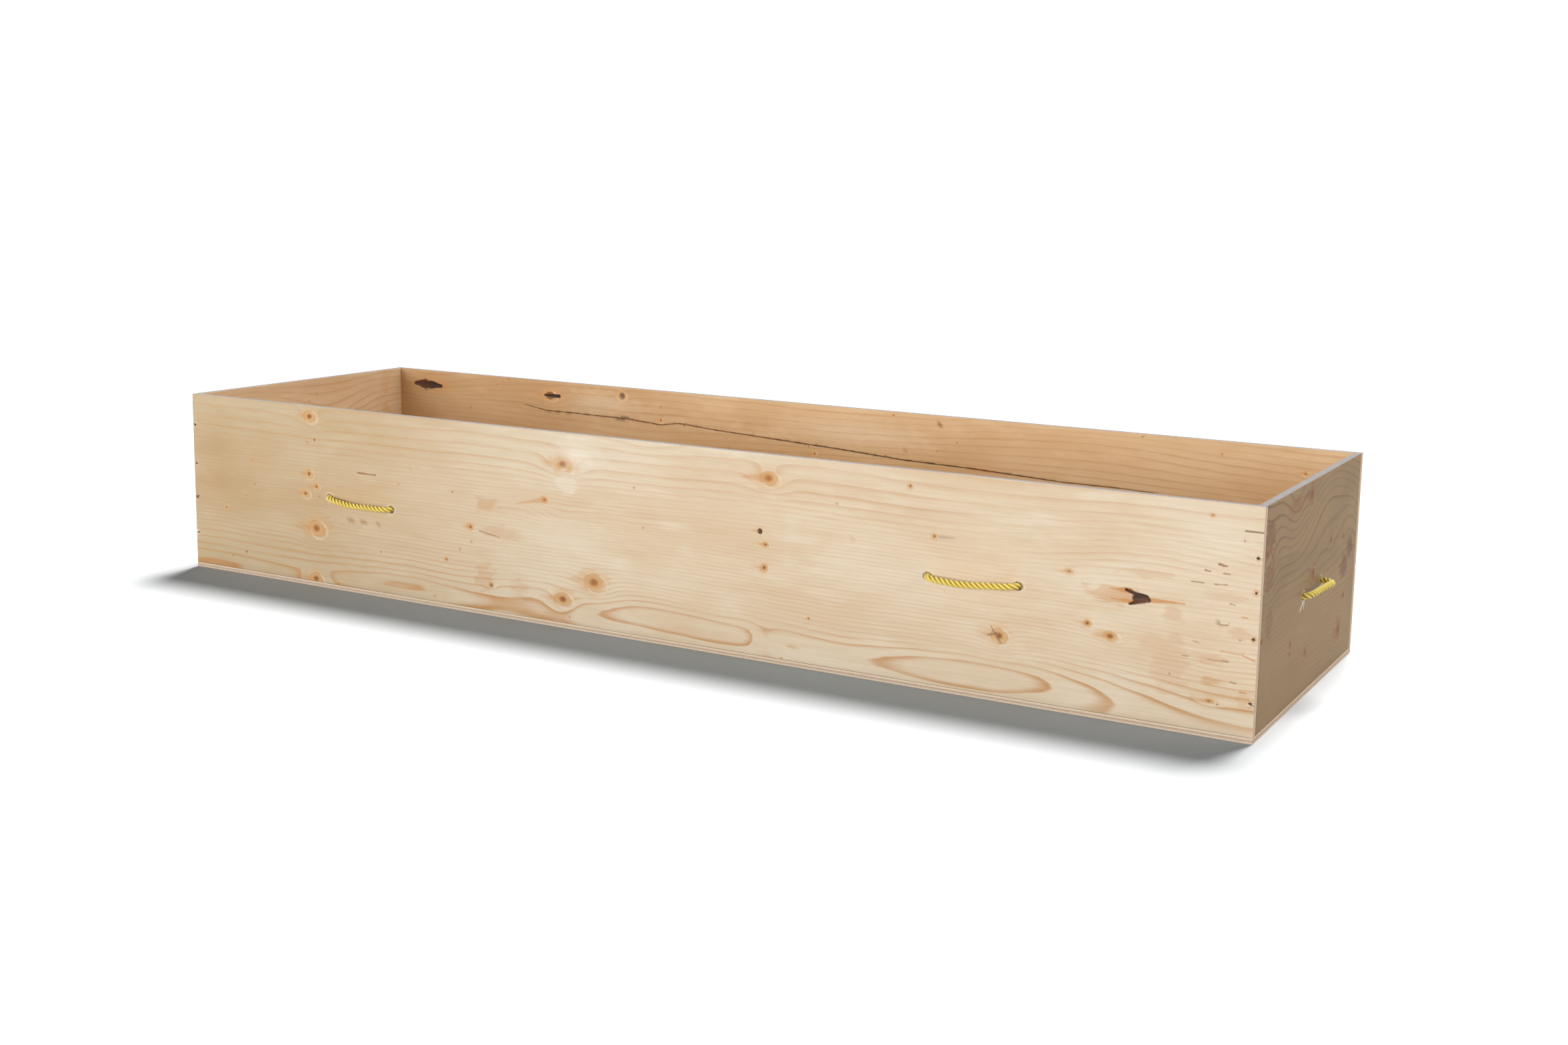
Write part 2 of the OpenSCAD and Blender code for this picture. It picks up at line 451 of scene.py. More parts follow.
# Each face of a board, in mm, across from the ground. Knots are (along, across, half length, half height,
# darkness) and islands the same with a rise in rings. Strokes are (from along, from across, to along,
# to across, half width at the start, half width at the end, kind, amount). Patches are (along, across,
# half length, half height, kind, amount).
frontOuter = {
    "seed": 3, "sway": 7, "swayLength": 170,
    "fade": [(0, 1.1), (105, 1), (140, .6), (349, .5)],  # (across, share of the rings' strength)
    "rings": [  # (across, rings to the mm)
        (-100, .012), (20, .014), (70, .05), (90, .11),
        (130, .15), (235, .16), (270, .08), (300, .05), (450, .04),
    ],
    "islands": [
        (90, 46, 330, 38, -2.9), (640, 44, 210, 40, -2.7),
        (-530, 34, 180, 26, -1.9), (-1010, 24, 230, 30, -1.8),
        (-160, 196, 60, 22, 2.2), (20, 200, 120, 16, 1.4), (880, 262, 180, 40, -3.0), (20, 356, 70, 24, 1.0),
        (1010, 120, 110, 70, 1.6), (-260, 215, 70, 16, -1.3), (253, 38, 26, 26, 0.9),
    ],
    "knots": [
        (-755, 329, 13, 10, .6), (-759, 218, 8, 8, .5), (-741, 195, 7, 6, .6), (-769, 179, 9, 7, .35),
        (-743, 114, 18, 14, .3), (-747, 15, 14, 11, .7), (-367, 159, 7, 6, .6), (-160, 294, 17, 12, .45),
        (-200, 226, 7, 6, .55), (-94, 91, 19, 14, .35), (-161, 52, 16, 11, .45), (-320, 57, 5, 4, .8),
        (255, 310, 15, 11, .5), (240, 220, 5, 5, 1), (251, 199, 6, 4, .6), (249, 160, 7, 7, .7),
        (778, 220, 7, 4, .4), (810, 145, 7, 6, .6), (846, 130, 11, 8, .5), (669, 105, 12, 11, .35),
        (1000, 55, 7, 3, .5), (555, 248, 4, 4, .6), (511, 323, 4, 4, .7), (992, 329, 4, 3, .6),
        (-743, 285, 3, 3, .8), (-908, 230, 3, 3, .6), (-927, 159, 3, 3, .7), (-930, 46, 3, 3, .8),
        (-424, 92, 4, 4, .6), (334, 86, 3, 3, .6), (-982, 129, 4, 4, .3), (-536, 220, 2, 2, .4),
    ],
    "specks": [
        (-761, 279), (-733, 177), (-903, 184), (-967, 35), (-509, 252), (-408, 219), (-365, 132), (-392, 114),
        (-582, 87), (-453, 20), (-146, 22), (232, 139), (-10, 267),
        (251, 49), (9, 200), (382, 281), (412, 229),
        (940, 87), (1013, 52), (1041, 152), (1040, 297), (1011, 257), (285, 12), (-689, 12),
    ],
    "strokes": [
        # the split knot: a black wedge with two wings and a thin tail, its black painted shade inside the
        # split
        (868, 204, 899, 194, 2, 6, "dark", 1), (874, 183, 897, 191, 1.5, 5, "dark", 1),
        (885, 194, 903, 192, 8, 4, "dark", 1), (842, 203, 876, 203, 1.5, 4.5, "orange", 1),
        (846, 188, 878, 187, 1, 3.5, "orange", 1), (903, 193, 958, 194, 4, .8, "orange", .9),
        # pitch lines and short resin dashes
        (-636, 232, -592, 232, 1.6, 1.6, "brown", .95), (-346, 154, -301, 147, 1.3, .6, "brown", .8),
        (1040, 311.5, 1067, 311.5, .8, .8, "dark", .7), (1046, 130, 1064, 124, 1.2, 1.2, "orange", .8),
        (1014, 132, 1046, 130, 1.4, 1, "orange", .5), (958, 117, 966, 117, 1, 1, "brown", .8),
        (966, 229, 984, 229, .9, .9, "brown", .7),
        (1000, 229, 1018, 230, .9, .9, "brown", .7), (1006, 171, 1022, 171, 1, 1, "brown", .7),
        (996, 117, 1020, 117, 1, .8, "brown", .6), (1005, 259, 1017, 257, 1.6, 1, "brown", 1),
        (985, 248, 993, 247, 1.4, 1, "brown", .9), (1012, 246, 1022, 246, .9, .7, "brown", .8),
        (1024, 203, 1031, 202, 1, .8, "brown", .8), (1030, 88, 1038, 87, .9, .8, "brown", .8),
        (1044, 75, 1054, 75, 1, .7, "orange", .9), (1018, 118, 1026, 117, 1, .8, "brown", .8),
        (972, 141, 982, 140, .8, .8, "brown", .5), (1042, 186, 1050, 186, 1, 1, "orange", .8),
        (-716, 139, -708, 139, .8, .8, "brown", .6), (-660, 139, -648, 139, .8, .8, "brown", .5),
        (-628, 139, -616, 139, .8, .8, "brown", .5), (-596, 138, -584, 139, .8, .8, "brown", .5),
        (-200, 226, -262, 214, 5, 1, "orange", .5), (255, 310, 205, 308, 9, 1, "orange", .5),
        (655, 118, 672, 94, 1.2, 1.2, "grey", .8), (650, 104, 664, 108, 1.2, 2.4, "grey", .8),
        (564, 248, 590, 249, 3, 1, "grey", .35),
    ],
    "patches": [
        (-330, 204, 26, 12, "tan", .8), (-290, 156, 45, 12, "tan", .6), (-335, 70, 20, 26, "tan", .65),
        (-255, 60, 22, 14, "tan", .5), (-1005, 250, 60, 34, "olive", .6), (-995, 185, 70, 24, "olive", .6),
        (940, 100, 26, 44, "tan", .5), (1000, 118, 30, 8, "tan", .6),
        (1000, 84, 14, 8, "tan", .9), (990, 55, 18, 4, "tan", .9),
        (1040, 160, 20, 8, "tan", .6), (1020, 212, 36, 8, "tan", .4), (1052, 60, 12, 18, "tan", .4),
        (900, 232, 40, 7, "tan", .5), (940, 176, 16, 12, "tan", .6), (918, 128, 30, 14, "tan", .4),
        (845, 194, 40, 13, "orange", .55), (-160, 294, 34, 22, "orange", .25),
        (-128, 318, 60, 34, "pale", .8),
        (-150, 262, 26, 20, "pale", .5), (70, 210, 46, 9, "pale", .4), (310, 217, 46, 10, "pale", .5),
        (-6, 31, 46, 9, "pale", .4), (120, 30, 190, 9, "orange", .22), (-743, 114, 40, 20, "orange", .2),
        (-94, 91, 34, 20, "orange", .22), (800, 205, 60, 24, "pale", .35), (-560, 214, 90, 16, "orange", .10),
        (1010, 300, 80, 50, "pale", .3), (700, 300, 160, 50, "pale", .25), (-160, 150, 120, 60, "pale", .25),
    ],
}
frontInner = {
    "seed": 21, "sway": 8, "swayLength": 200,
    "rings": [(-100, .05), (349, .08), (450, .1)],
    "islands": [(-300, 180, 420, 60, 2.8), (520, 130, 360, 50, -2.6)],
    "knots": [(-820, 250, 12, 10, .5), (-330, 90, 9, 8, .6), (140, 285, 10, 7, .5), (640, 210, 14, 11, .4)],
    "specks": [(-600, 300), (-120, 210), (330, 120), (840, 70), (910, 280)],
    "strokes": [],
    "patches": [(-500, 200, 160, 60, "tan", .2), (400, 250, 200, 50, "pale", .2)],
}
backInner = {
    "seed": 8, "sway": 6, "swayLength": 210,
    "rings": [(-100, .06), (240, .1), (349, .07), (450, .06)],
    "islands": [(-960, 330, 150, 40, 2), (-400, 230, 300, 50, 2.2), (600, 320, 300, 40, -1.6)],
    "knots": [
        (-636, 318, 13, 9, 1), (-449, 331, 8, 8, .9), (-352, 288, 5, 5, .6), (976, 305, 5, 4, .7),
        (-387, 120, 13, 10, .6), (320, 140, 15, 12, .5), (820, 100, 9, 8, .6), (-900, 90, 10, 8, .5),
        (185, 342, 4, 4, .6), (13, 251, 5, 5, .7),
    ],
    "specks": [
        (-855, 275), (-782, 331), (-748, 346), (-521, 291), (-352, 317), (-387, 241), (-183, 243), (213, 276),
        (280, 281), (320, 301), (284, 332), (829, 326), (682, 344),
    ],
    "strokes": [
        (-1012, 318, -982, 318, 4, 12, "dark", 1), (-982, 318, -938, 316, 12, 4, "dark", 1),
        (-938, 316, -912, 316, 6, 1, "orange", .9), (-650, 318, -612, 318, 3, 4, "dark", 1),
        # a long crack that wanders down the board, its dark painted shade inside the crack
        (-707, 294, -647, 285, .4, 1.1, "dark", .8), (-647, 285, -557, 285, 1.1, 1, "dark", .85),
        (-557, 285, -437, 284, 1, 1.2, "dark", .85), (-437, 284, -352, 278, 1.2, 1, "dark", .8),
        (-352, 278, -307, 285, 1, 1, "dark", .8), (-307, 285, -222, 279, 1, 1.2, "dark", .85),
        (-222, 279, -72, 272, 1.2, 1.3, "dark", .85), (-72, 272, 78, 265, 1.3, 1.3, "dark", .85),
        (78, 265, 208, 257, 1.3, 1.2, "dark", .85), (208, 257, 353, 254, 1.2, 1.3, "dark", .85),
        (353, 254, 538, 246, 1.3, 1.1, "dark", .85), (538, 246, 633, 246, 1.1, .9, "dark", .8),
        (633, 246, 723, 244, .9, .3, "dark", .8), (340, 254, 400, 252, 3, 3, "orange", .7),
    ],
    "patches": [
        (-960, 318, 60, 26, "orange", .4), (-630, 318, 50, 20, "orange", .4),
        (-500, 310, 120, 26, "pale", .3),
        (100, 300, 200, 30, "pale", .25), (560, 300, 200, 30, "tan", .25), (900, 270, 120, 40, "tan", .3),
    ],
}
backOuter = {
    "seed": 33, "sway": 7, "swayLength": 180,
    "rings": [(-100, .06), (60, .08), (160, .2), (260, .14), (349, .06), (450, .05)],
    "islands": [(-420, 44, 320, 30, -2.2), (380, 300, 300, 40, 2.2), (900, 150, 150, 40, 2)],
    "knots": [
        (-840, 240, 14, 11, .5), (-520, 120, 9, 8, .6), (-140, 300, 15, 11, .45), (90, 80, 17, 13, .4),
        (420, 215, 8, 7, .7), (760, 300, 12, 9, .55), (930, 90, 10, 8, .5), (-980, 60, 8, 7, .6),
    ],
    "specks": [
        (-700, 300), (-610, 60), (-260, 210), (240, 280), (560, 90), (690, 190), (980, 240), (-30, 180),
    ],
    "strokes": [(300, 262, 344, 261, 1.6, 1.4, "brown", .9), (-380, 190, -350, 189, 1, .8, "brown", .7)],
    "patches": [
        (-800, 150, 120, 50, "olive", .2), (500, 260, 200, 50, "pale", .3), (-140, 320, 60, 26, "pale", .6),
    ],
}
rightOuter = {
    "seed": 14, "sway": 9, "swayLength": 90, "crescent": 0.12,
    "fade": [(0, .5), (150, .5), (230, 1), (349, 1)],
    "rings": [(-100, .13), (120, .12), (215, .06), (349, .055), (450, .05)],
    "islands": [
        (90, 300, 150, 60, -2.8), (240, 240, 70, 60, -1.8),
        (-120, 330, 60, 60, 1.9), (-265, 250, 40, 60, 2.2),
        (60, 70, 190, 60, -1.2),
    ],
    "knots": [
        (-38, 328, 14, 16, .45), (0, 198, 11, 12, .5), (198, 63, 14, 16, .45), (-282, 276, 9, 11, .6),
        (10, 210, 5, 5, .6), (110, 231, 8, 7, .6), (198, 223, 8, 5, .55), (222, 118, 7, 6, .6),
        (-20, 73, 6, 9, .6), (-118, 108, 5, 7, .7), (-118, 92, 4, 5, .7), (-285, 149, 7, 6, .5),
    ],
    "specks": [(-177, 210), (-122, 187), (60, 150), (150, 40), (-220, 60), (120, 170), (-60, 280), (40, 260)],
    "strokes": [
        (-274, 276, -236, 279, 5, 1, "orange", .7), (-285, 315, -246, 315, 5, 2, "orange", .6),
        (-143, 326, -107, 326, 8, 3, "orange", .6), (125, 30, 125, 85, .8, .8, "brown", .35),
        (-70, 150, -52, 162, 2, 3, "pale", 1), (-50, 150, -44, 163, 1.5, 2, "pale", 1),
        (60, 158, 66, 168, 2, 2, "pale", .5),
    ],
    "patches": [
        (207, 169, 26, 18, "brown", .8), (247, 197, 18, 18, "brown", .8), (-100, 60, 110, 30, "orange", .12),
        (-270, 300, 26, 24, "brown", .6), (-262, 240, 24, 22, "brown", .5), (-250, 170, 20, 26, "brown", .3),
        (-130, 322, 40, 16, "orange", .4),
    ],
}
leftOuter = {
    "seed": 42, "sway": 7, "swayLength": 100,
    "rings": [(-100, .05), (120, .12), (240, .1), (349, .06), (450, .06)],
    "islands": [(60, 250, 110, 46, 2.4), (-160, 90, 90, 40, -1.8)],
    "knots": [(-150, 230, 11, 9, .5), (90, 110, 12, 10, .45), (210, 280, 8, 7, .6), (-30, 320, 7, 6, .6)],
    "specks": [(-60, 180), (150, 200), (-230, 120), (30, 40)],
    "strokes": [(-60, 150, -50, 162, 2, 2, "pale", .9)],
    "patches": [(140, 160, 60, 30, "tan", .4), (-200, 280, 60, 30, "pale", .3)],
}
leftInner = {
    "seed": 51, "sway": 6, "swayLength": 120,
    "rings": [(-100, .06), (349, .09), (450, .1)],
    "islands": [(60, 260, 150, 50, 3.2), (-170, 300, 90, 50, -1.6)],
    "knots": [(-190, 120, 10, 8, .6), (160, 200, 8, 6, .5)],
    "specks": [(25, 315), (2, 303), (145, 271), (-150, 250), (60, 130)],
    "strokes": [],
    "patches": [(240, 262, 12, 14, "tan", .7), (90, 325, 40, 14, "tan", .3), (240, 325, 14, 26, "tan", .4)],
}
rightInner = dict(leftInner, seed=57, islands=[(-80, 160, 150, 50, -2)],
                  specks=[(-90, 210), (110, 90), (180, 300)])
baseTop = {
    "seed": 63, "sway": 14, "swayLength": 260,
    "rings": [(-400, .05), (-60, .1), (120, .05), (400, .09)],
    "islands": [(-300, 60, 420, 80, 2.6), (560, -90, 380, 70, -2.4)],
    "knots": [
        (-820, -150, 15, 12, .5), (-460, 170, 12, 9, .5), (-60, -60, 14, 11, .45), (300, 150, 17, 13, .4),
        (720, 60, 12, 10, .6), (900, -190, 10, 8, .6),
    ],
    "specks": [(-650, 40), (-200, 220), (120, -200), (500, -30), (830, 180), (-940, 90)],
    "strokes": [(60, 90, 104, 91, 1.4, 1.2, "brown", .8)],
    "patches": [
        (-500, -60, 260, 80, "tan", .2), (350, -100, 260, 90, "pale", .2), (0, 0, 900, 60, "tan", .12),
    ],
}
baseUnder = dict(baseTop, seed=69, strokes=[], patches=[(0, 0, 700, 200, "tan", .3)])

# board: (thin axis, grain axis, outward sign, outer look, inner look)
boards = {
    "front_side": (1, 0, -1, frontOuter, frontInner),
    "back_side": (1, 0, 1, backOuter, backInner),
    "left_end": (0, 1, -1, leftOuter, leftInner),
    "right_end": (0, 1, 1, rightOuter, rightInner),
    "base": (2, 0, -1, baseUnder, baseTop),
}
stainLength = 45  # patches up to this half length, in mm, are stains with ragged ends
markKinds = {
    "orange": (1, 0, 0), "brown": (.75, 0, .55), "tan": (.46, 0, .03), "olive": (.2, 0, .1),
    "pale": (0, 1, 0), "dark": (0, 0, 1), "grey": (0, .25, .75),
}


def waves(along, across, seed, longLength, wideLength, count=5):
    # a smooth uneven field between about -1 and 1
    draw = np.random.default_rng(seed)
    total = np.zeros_like(along)
    for k in range(count):
        a, b = draw.uniform(0.5, 1.6, 2)
        lean = draw.uniform(-1, 1)
        first, second = draw.uniform(0, 2 * math.pi, 2)
        total += np.sin(along * a / longLength + across * lean / wideLength + first) \
            * np.sin(across * b / wideLength + second) / math.sqrt(count)
    return total


def ringPhase(along, across, look):
    level = across + look["sway"] * waves(along, across, look["seed"], look["swayLength"], 120) \
        + 1.6 * waves(along, across, look["seed"] + 1, 60, 60) \
        + 0.5 * waves(along, across, look["seed"] + 2, 18, 14)
    bigKnots = [knot for knot in look["knots"] if knot[2] >= 5]
    for g, h, halfLong, halfHigh, darkness in bigKnots:  # rings part round a knot
        far = ((along - g) / (halfLong * 3.4)) ** 2 + ((across - h) / (halfHigh * 2.2)) ** 2
        level = level - (across - h) * 0.38 * np.exp(-far)
    levels, density = np.array(look["rings"]).T
    fine = np.linspace(-600, 600, 2401)
    grown = np.cumsum(np.interp(fine, levels, density)) * (fine[1] - fine[0])
    phase = np.interp(level, fine, grown)
    for g, h, halfLong, halfHigh, rise in look["islands"]:
        phase = phase + rise * np.exp(-((along - g) / halfLong) ** 2 - ((level - h) / halfHigh) ** 2)
    for g, h, halfLong, halfHigh, darkness in bigKnots:
        far = ((along - g) / (halfLong * 2.2)) ** 2 + ((across - h) / (halfHigh * 2.2)) ** 2
        phase = phase + 0.09 * halfLong * np.exp(-far)
    return phase


def strokeReach(along, across, stroke):  # 1 on a stroke's middle, 0 at its edge, negative outside
    g0, h0, g1, h1, w0, w1 = stroke[:6]
    dg, dh = g1 - g0, h1 - h0
    t = np.clip(((along - g0) * dg + (across - h0) * dh) / (dg * dg + dh * dh), 0, 1)
    off = np.hypot(along - g0 - t * dg, across - h0 - t * dh)
    return 1 - off / (w0 + (w1 - w0) * t)


def finer(cell, near, spacing):
    return np.where(near, np.minimum(cell, spacing), cell)


def cellWanted(along, across, look, holes, screws):  # the spacing of points that the detail there needs
    cell = np.full(along.shape, float(boardLook["grid"]))
    for g, h, halfLong, halfHigh, darkness in look["knots"]:
        far = np.hypot((along - g) / halfLong, (across - h) / halfHigh)
        for reach, spacing in boardLook["knotCells"]:
            cell = finer(cell, far < reach, spacing)
    for g, h in look["specks"]:
        cell = finer(cell, np.hypot(along - g, across - h) < 4, 1)
    for stroke in look["strokes"]:
        wide = max(stroke[4:6])
        off = (1 - strokeReach(along, across, stroke[:4] + (wide, wide))) * wide
        cell = finer(cell, off < wide + 2.5, 1)
    for g, h, halfLong, halfHigh, kind, amount in look["patches"]:
        if halfLong <= stainLength:
            far = np.hypot((along - g) / halfLong, (across - h) / halfHigh)
            cell = finer(cell, far < 1.5, 2)
    for g, h in holes:
        cell = finer(cell, np.hypot(along - g, across - h) < boardLook["holeReach"], 1)
    for g, h in screws:
        cell = finer(cell, np.hypot(along - g, across - h) < boardLook["screwReach"], boardLook["screwCell"])
    return cell


def boardShape(node, thin, along, sides):
    low, high = (np.array(corner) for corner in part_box(node))
    across = 3 - thin - along
    size = high - low
    bm = bmesh.new()
    bmesh.ops.create_cube(bm, size=1)
    bmesh.ops.scale(bm, vec=size, verts=bm.verts)
    bmesh.ops.translate(bm, vec=(low + high) / 2, verts=bm.verts)
    bmesh.ops.bevel(bm, geom=bm.edges[:], offset=boardLook["edgeRound"] * mm, segments=2, profile=0.5,
                    affect="EDGES", material=-1)
    for axis in (along, across):
        cuts = round(size[axis] / mm / boardLook["grid"]) - 1
        runs = [e for e in bm.edges if abs(e.verts[0].co[axis] - e.verts[1].co[axis]) > size[axis] / 2]
        bmesh.ops.subdivide_edges(bm, edges=runs, cuts=cuts, use_grid_fill=True)
    for level in range(4):
        faces = [f for f in bm.faces if abs(f.normal[thin]) > 0.99]
        middles = np.array([f.calc_center_median() for f in faces]) / mm
        lengths = np.array([math.sqrt(f.calc_area()) for f in faces]) / mm
        above = np.array([f.normal[thin] for f in faces]) > 0
        wanted = np.full(len(faces), 99.0)
        for positive, look, holes, screws in sides:
            chosen = above == positive
            wanted[chosen] = cellWanted(middles[chosen, along], middles[chosen, across], look, holes, screws)
        edges = {e for f, have, want in zip(faces, lengths, wanted) if have > want * 1.25 for e in f.edges}
        if not edges:
            break
        bmesh.ops.subdivide_edges(bm, edges=list(edges), cuts=1, use_grid_fill=True, use_single_edge=True)
    return bm


def addCutter(bm, matrix, outline):  # a turned shape: (radius, depth) points spun round the local Y axis
    verts = [bm.verts.new(matrix @ Vector((r * mm, y * mm, 0))) for r, y in outline]
    edges = [bm.edges.new(pair) for pair in zip(verts, verts[1:])]
    middle = matrix @ Vector((0, 0, 0))
    axis = matrix.to_3x3() @ Vector((0, 1, 0))
    bmesh.ops.spin(bm, geom=verts + edges, cent=middle, axis=axis, angle=2 * math.pi,
                   steps=boardLook["drillSides"], use_merge=True)


def drillBoard(name, bm, cutter):
    bmesh.ops.remove_doubles(cutter, verts=cutter.verts, dist=1e-6)
    bmesh.ops.recalc_face_normals(cutter, faces=cutter.faces)
    pair = []
    for part, made in (("blank", bm), ("drill", cutter)):
        mesh = bpy.data.meshes.new(name + "_" + part)
        made.to_mesh(mesh)
        made.free()
        pair.append(bpy.data.objects.new(mesh.name, mesh))
        bpy.context.scene.collection.objects.link(pair[-1])
    blank, drill = pair
    cut = blank.modifiers.new("holes", "BOOLEAN")
    cut.operation = "DIFFERENCE"
    cut.object = drill
    cut.solver = "EXACT"
    ready = blank.evaluated_get(bpy.context.evaluated_depsgraph_get())
    mesh = bpy.data.meshes.new_from_object(ready)
    mesh.name = name
    for used in pair:
        bpy.data.objects.remove(used)
    return mesh


def paintFace(along, across, look, holes, screws):
    # what each point of a face shows: ring phase and strength, knots, marks, and how far it stands out
    phase = ringPhase(along, across, look)
    ahead = ringPhase(along, across + 1, look) - phase
    beside = ringPhase(along + 1, across, look) - phase
    strength = np.clip(0.06 / (np.hypot(ahead, beside) + 0.012), 0.38, 1)
    strength *= np.interp(across, *np.array(look.get("fade", [(0, 1)])).T)
    knot = np.full(along.shape, 3.0)
    dark = np.zeros(along.shape)
    marks = np.zeros(along.shape + (3,))
    wobble = waves(along, across, look["seed"] + 5, 6, 5)
    ragged = waves(along, across, look["seed"] + 9, 14, 1.6, 7)
    for g, h, halfLong, halfHigh, darkness in look["knots"]:
        far = np.hypot((along - g) / halfLong, (across - h) / halfHigh) * (1 + 0.08 * wobble)
        nearer = far < knot
        knot = np.where(nearer, far, knot)
        dark = np.where(nearer, darkness, dark)
        if halfLong >= 5:  # resin drawn out to the left, a pale crescent at the lower right
            drawn = np.hypot((along - g + 1.5 * halfLong) / (1.8 * halfLong), (across - h) / (0.6 * halfHigh))
            marks[:, 0] = np.maximum(marks[:, 0], 0.45 * np.clip(1.2 - drawn - 0.3 * ragged, 0, 1))
            turned = np.hypot((along - g - 0.4 * halfLong) / halfLong,
                              (across - h + 0.3 * halfHigh) / halfHigh)
            crescent = np.clip(1 - np.abs(turned - 1.15) / 0.22, 0, 1) * (far > 1) * (1 + 0.4 * wobble)
            marks[:, 1] = np.maximum(marks[:, 1], look.get("crescent", 0.5) * crescent)
    for g, h in look["specks"]:
        blot = np.clip(1.7 - np.hypot(along - g, (across - h) * 1.3), 0, 1)
        marks[:, 2] = np.maximum(marks[:, 2], blot * 0.75)
        marks[:, 0] = np.maximum(marks[:, 0], 0.5 * np.clip(1 - np.hypot(along - g, across - h) / 4, 0, 1))
    for g, h, halfLong, halfHigh, kind, amount in look["patches"]:
        far = np.hypot((along - g) / halfLong, (across - h) / halfHigh) * (1 + 0.22 * wobble)
        blot = amount * np.clip(1.25 - far, 0, 1) ** 1.3
        if halfLong <= stainLength:
            blot = amount * np.clip(3 * (1.1 - far + 0.3 * ragged), 0, 1)
        marks = np.maximum(marks, blot[:, None] * markKinds[kind])
    relief = np.zeros(along.shape)
    for stroke in look["strokes"]:
        reach = strokeReach(along, across, stroke)
        blot = stroke[7] * np.clip(reach * 3 + 0.4 * wobble + 0.3, 0, 1)
        marks = np.maximum(marks, blot[:, None] * markKinds[stroke[6]])
        # dark strokes are splits: cut in shallow and painted dark, the dark standing for the shade inside
        # them
        if stroke[6] == "dark":
            depth = boardLook["splitDepth"] * np.clip(reach * 1.5, 0, 1) * (1 + 0.3 * np.clip(wobble, -1, 1))
            relief = np.minimum(relief, -depth)
    relief += 0.25 * np.exp(-((knot - 1.05) / 0.2) ** 2) - 0.3 * np.clip(1 - knot, 0, 1)
    fibre = waves(along, across, look["seed"] + 7, 5, 0.8, 9)
    for g, h in holes:
        off = np.hypot((along - g) * 0.8, across - h) - boardLook["ropeHole"] / 2
        torn = np.clip(1 - off / 4.5 + 0.35 * fibre, 0, 1) * (off < 6)
        marks[:, 1] = np.maximum(marks[:, 1], 0.55 * torn)
        # painted shade: a dark ring at the rope hole's rim, where the hole goes into the board
        marks[:, 2] = np.maximum(marks[:, 2], 0.55 * np.clip(1 - off / 1.2, 0, 1))
        relief += boardLook["tornHeight"] * torn * fibre
    for g, h in screws:
        off = np.hypot((along - g) * 0.9, across - h) - boardLook["screwLip"] / 2
        torn = np.clip(1.5 - off / 3.2 + 0.5 * fibre, 0, 1) * (off < 6)
        marks[:, 0] = np.maximum(marks[:, 0], 0.8 * torn * np.clip(0.9 + 0.8 * wobble, 0.3, 1))
        marks[:, 1] = np.maximum(marks[:, 1], 0.9 * torn * np.clip(3 * fibre - 0.3, 0, 1))
        # painted shade: dark at the rim of the opening over the sunk head, and in spots among the torn fibres
        screwShade = np.clip(1.2 - np.hypot(off, 2 * wobble) / 1.4, 0, 1)
        screwShade += np.clip(ragged * 2.2 - 0.9 - 0.15 * off, 0, 1)
        marks[:, 2] = np.maximum(marks[:, 2], 0.8 * np.clip(screwShade, 0, 1) * (off < 5))
        relief += boardLook["tornHeight"] * torn * (0.35 + fibre)
    return phase, strength, knot, dark, marks, relief


def paintBoard(mesh, node, thin, along, sides):
    low, high = (np.array(corner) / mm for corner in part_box(node))
    across = 3 - thin - along
    count = len(mesh.vertices)
    places = np.zeros(count * 3)
    mesh.vertices.foreach_get("co", places)
    places = places.reshape(-1, 3) / mm
    grain = np.zeros((count, 3))
    grain[:, 2] = 3
    marks = np.zeros((count, 4))
    normals = np.zeros(len(mesh.polygons) * 3)
    centres = np.zeros(len(mesh.polygons) * 3)
    mesh.polygons.foreach_get("normal", normals)
    mesh.polygons.foreach_get("center", centres)
    facing = normals.reshape(-1, 3)[:, thin]
    at = centres.reshape(-1, 3)[:, thin] / mm
    slots = np.full(len(facing), 2)
    for slotNumber, (positive, look, holes, screws) in enumerate(sides):
        level = high[thin] if positive else low[thin]
        slots[(np.abs(facing) > 0.25) & (np.abs(at - level) < 1) & ((facing > 0) == positive)] = slotNumber
        chosen = np.abs(places[:, thin] - level) < boardLook["edgeRound"] * 1.01
        g, h = places[chosen, along], places[chosen, across]
        phase, strength, knot, dark, tints, relief = paintFace(g, h, look, holes, screws)
        if thin != 2:
            # painted shade: a dark line along the wall's bottom edge, where it meets the base
            tints[:, 2] = np.maximum(tints[:, 2], 0.8 * (h < low[2] + boardLook["edgeRound"] * 0.9))
        elif not positive:
            relief = np.minimum(relief, 0)  # nothing goes below the ground
        grain[chosen] = np.stack([phase, strength, knot], 1)
        marks[chosen] = np.concatenate([tints, dark[:, None]], 1)
        flat = np.abs(places[chosen, thin] - level) < 0.01
        places[chosen, thin] += np.where(flat, relief, 0) * (1 if positive else -1)
    mesh.polygons.foreach_set("material_index", slots)
    mesh.vertices.foreach_set("co", (places * mm).ravel())
    mesh.attributes.new("grain", "FLOAT_VECTOR", "POINT").data.foreach_set("vector", grain.ravel())
    mesh.attributes.new("marks", "FLOAT_COLOR", "POINT").data.foreach_set("color", marks.ravel())
    mesh.update()


woodTones = {  # the same on every face
    "fibre": (232, 226, 216), "fibreLight": (255, 255, 255), "speck": (150, 104, 66),
    "smear": (224, 180, 124), "whirl": (226, 186, 134), "whirlDeep": (212, 164, 108),
    "heart": (164, 98, 46), "core": (84, 48, 26), "dead": (66, 40, 24), "deadDeep": (40, 26, 18),
    "outline": (178, 122, 74), "resin": (206, 142, 72), "torn": (236, 224, 200),
    # the split tones colour the dark share: real dark marks, and painted shade at rope-hole rims, screw
    # openings, the walls' bottom edges and inside the splits
    "tornLight": (250, 243, 228), "split": (48, 26, 14), "splitLight": (104, 58, 28),
}


